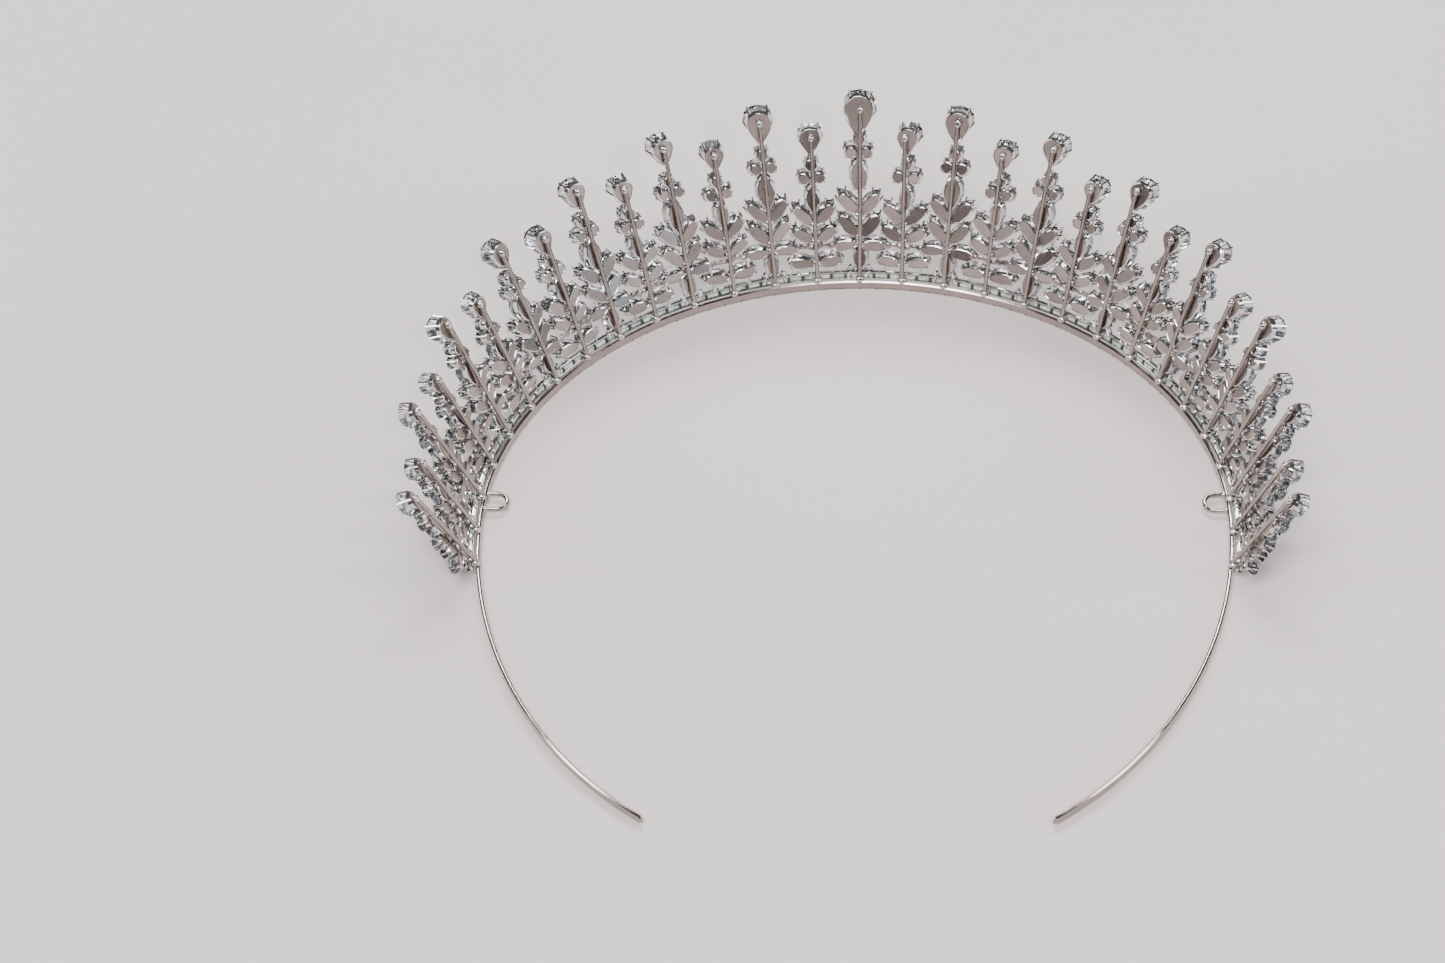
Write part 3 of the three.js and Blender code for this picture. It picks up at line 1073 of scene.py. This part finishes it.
class TIARA_OT_hairpin_loops(bpy.types.Operator):
    """Bend the two wire eyelets and solder their legs to the inside of the band"""

    bl_idname = "tiara.hairpin_loops"
    bl_label = "Hair-pin loops"

    place_from_centre = 12
    leg = 2.0 * MM
    wire_sides = 12
    bend_steps = 18
    bead = (1.5, 1.4, 1.3)
    bead_drop = -0.1 * MM

    def wire(self, sizes):
        """One eyelet: two legs and a half round, closed at both ends, with a bead on each leg."""
        bm = bmesh.new()
        radius = sizes.loop_wire_radius
        bmesh.ops.create_circle(bm, cap_ends=False, segments=self.wire_sides, radius=radius)
        bmesh.ops.translate(bm, verts=bm.verts, vec=(sizes.loop_radius, 0, 0))
        ring = run_on(bm, bm.edges[:], (0, 0, -self.leg))
        spun = bmesh.ops.spin(
            bm, geom=ring, cent=(0, 0, -self.leg), axis=(0, 1, 0), dvec=(0, 0, 0),
            angle=math.pi, steps=self.bend_steps,
        )
        ring = [part for part in spun["geom_last"] if isinstance(part, bmesh.types.BMEdge)]
        run_on(bm, ring, (0, 0, self.leg))
        bmesh.ops.remove_doubles(bm, verts=bm.verts, dist=0.0001 * MM)
        bmesh.ops.holes_fill(bm, edges=[edge for edge in bm.edges if edge.is_boundary], sides=0)
        bmesh.ops.recalc_face_normals(bm, faces=bm.faces)
        radii = [radius * share for share in self.bead]
        for x in (sizes.loop_radius, -sizes.loop_radius):
            add_bead(bm, (x, 0, self.bead_drop), radii, SECOND)
        return bm

    def execute(self, context):
        for side, place in (("left", 1), ("right", -1)):
            bm = self.wire(context.scene.tiara_sizes)
            frame_here = hoop_frame(place * self.place_from_centre * SPRAY_PITCH, 0.0)
            inset = Matrix.Translation((0, -BAND_HEIGHT / 2, -BAND_THICKNESS / 2))
            bmesh.ops.transform(bm, matrix=frame_here @ inset, verts=bm.verts)
            shade(bm)
            metals = [finish("loop"), finish("solder")]
            finished(bm, f"loop_{side}", metals, (f"hairpin_loop_{side}",))
        return {"FINISHED"}


class TIARA_OT_sprays(bpy.types.Operator):
    """Make each spray's cups, stones and spine wire"""

    bl_idname = "tiara.sprays"
    bl_label = "Sprays"

    def execute(self, context):
        for index in range(SPRAY_COUNT):
            plan = SprayPlan(index)
            builder = build_spray(plan)
            spine = build_spine(plan)
            for bm in (builder.metal, builder.stones, spine):
                bmesh.ops.transform(bm, matrix=plan.frame, verts=bm.verts)
            stone_nodes = [plan.node]
            if plan.tall:
                stone_nodes.append(f"pear_crystal_{plan.number}")
            label = f"spray_{plan.number}"
            metals = [finish(name) for name in SPRAY_METALS]
            stones = [finish("stone")]
            finished(builder.metal, f"{label}_cups", metals, [plan.node])
            finished(builder.stones, f"{label}_stones", stones, stone_nodes)
            finished(spine, f"{label}_spine", metals, [plan.node])
        return {"FINISHED"}


class TIARA_OT_stage(bpy.types.Operator):
    """Lay a pale floor, hang the soft lights and set the camera"""

    bl_idname = "tiara.stage"
    bl_label = "Stage"

    shift = (-0.0917, 0.0181)
    aim = (-5 * MM, BAND_HEIGHT - 2.6 * MM)
    clip = (0.01, 20)
    sensor = 36
    floor_drop = 0.22 * MM
    floor_half = 4
    floor_tones = (0.98, 1.02)
    floor_roughness = 0.7
    sun_place = (0.25, 0.7, 1.5)
    sun_strength = 0.9
    sun_angle = math.radians(24)
    world_colour = (0.09, 0.088, 0.09, 1)
    # Each softbox's name, place, size, power and colour.
    softboxes = (
        ("overhead", (0.25, 0.7, 1.5), (1.0, 0.7), 20, (1, 1, 1)),
        ("right", (-1.3, 0.1, 0.9), (0.35, 0.9), 9, (1.0, 0.95, 0.92)),
        ("window", (-1.25, 0.55, 0.26), (1.1, 0.4), 4.5, (0.56, 0.8, 1.0)),
        ("sparkle", (-0.35, 1.2, 1.2), (0.12, 0.12), 5, (1, 1, 1)),
        ("left", (1.25, 0.1, 0.7), (0.3, 0.7), 7, (0.92, 0.96, 1.0)),
        ("front", (0.0, -1.08, 1.12), (1.2, 0.26), 22, (0.97, 0.98, 1.0)),
    )

    def floor(self, colour):
        """Wide pale floor just under the nubs."""
        bm = bmesh.new()
        bmesh.ops.create_grid(bm, x_segments=8, y_segments=8, size=self.floor_half)
        bmesh.ops.translate(bm, verts=bm.verts, vec=(0, 0, -self.floor_drop))
        mesh = mesh_from(bm, "floor")
        material, nodes, links, shader = new_material("pale_floor")
        cloud = object_noise(nodes, links, 6, 2)
        tones = [tinted(colour, factor) for factor in self.floor_tones]
        links.new(ramp(nodes, links, cloud, tones), shader.inputs["Base Color"])
        shader.inputs["Roughness"].default_value = self.floor_roughness
        mesh.materials.append(material)
        placed("floor", mesh)

    def lamp(self, name, kind, place, power):
        """Light that shines on the tiara from a place."""
        data = bpy.data.lights.new(name, kind)
        data.energy = power
        light = placed(name, data)
        light.location = place
        light.rotation_euler = (-Vector(place)).to_track_quat("-Z", "Y").to_euler()
        return data

    def softbox(self, name, place, size, power, colour):
        data = self.lamp(name, "AREA", place, power)
        data.shape = "RECTANGLE"
        data.size, data.size_y = size
        data.color = colour

    def skylight(self):
        """Wide, even light that keeps the far floor as pale as the near one."""
        data = self.lamp("skylight", "SUN", self.sun_place, self.sun_strength)
        data.angle = self.sun_angle

    def camera(self, stage):
        """Camera that looks down on the tiara from behind, as the stage's sizes say."""
        rise = math.cos(stage.elevation)
        toward = Vector((
            math.sin(stage.azimuth) * rise, math.cos(stage.azimuth) * rise,
            math.sin(stage.elevation),
        ))
        aim = Vector((0, HOOP_CENTRE_Y + self.aim[0], self.aim[1]))
        right = (-toward).cross(Vector((0, 0, 1))).normalized()
        up = right.cross(-toward)
        turned_right = right * math.cos(stage.roll) + up * math.sin(stage.roll)
        turned_up = up * math.cos(stage.roll) - right * math.sin(stage.roll)
        data = bpy.data.cameras.new("camera")
        data.sensor_width = self.sensor
        data.lens = stage.lens
        data.shift_x, data.shift_y = self.shift
        data.clip_start, data.clip_end = self.clip
        data.dof.use_dof = False
        camera = placed("camera", data)
        turn = Matrix((turned_right, turned_up, toward)).transposed().to_4x4()
        camera.matrix_world = Matrix.Translation(aim + toward * stage.distance) @ turn
        bpy.context.scene.camera = camera

    def execute(self, context):
        stage = context.scene.tiara_stage
        self.floor(stage.floor_colour)
        self.skylight()
        for light in self.softboxes:
            self.softbox(*light)
        world = bpy.data.worlds.new("studio")
        world.use_nodes = True
        background = world.node_tree.nodes["Background"]
        background.inputs["Color"].default_value = self.world_colour
        background.inputs["Strength"].default_value = 1.0
        context.scene.world = world
        self.camera(stage)
        return {"FINISHED"}


class TIARA_PT_panel(bpy.types.Panel):
    """Lists the tiara's sizes, finishes and makers"""

    bl_label = "Bridal Tiara"
    bl_idname = "TIARA_PT_panel"
    bl_space_type = "VIEW_3D"
    bl_region_type = "UI"
    bl_category = "Tiara"

    def draw(self, context):
        scene = context.scene
        for group in (scene.tiara_sizes, scene.tiara_finishes, scene.tiara_stage):
            box = self.layout.box()
            for name in group.__annotations__:
                box.prop(group, name)
        for operator in OPERATORS:
            self.layout.operator(operator.bl_idname)


GROUPS = {
    "tiara_sizes": TiaraSizes,
    "tiara_finishes": TiaraFinishes,
    "tiara_stage": TiaraStage,
}
OPERATORS = (
    TIARA_OT_headband,
    TIARA_OT_baguette_strip,
    TIARA_OT_hairpin_loops,
    TIARA_OT_sprays,
    TIARA_OT_stage,
)


def register():
    for name, group in GROUPS.items():
        bpy.utils.register_class(group)
        setattr(bpy.types.Scene, name, PointerProperty(type=group))
    for operator in OPERATORS:
        bpy.utils.register_class(operator)
    bpy.utils.register_class(TIARA_PT_panel)


def unregister():
    bpy.utils.unregister_class(TIARA_PT_panel)
    for operator in reversed(OPERATORS):
        bpy.utils.unregister_class(operator)
    for name, group in reversed(GROUPS.items()):
        delattr(bpy.types.Scene, name)
        bpy.utils.unregister_class(group)


def main():
    register()
    bpy.ops.tiara.headband()
    bpy.ops.tiara.baguette_strip()
    bpy.ops.tiara.hairpin_loops()
    bpy.ops.tiara.sprays()
    bpy.ops.tiara.stage()


if __name__ == "__main__":
    main()
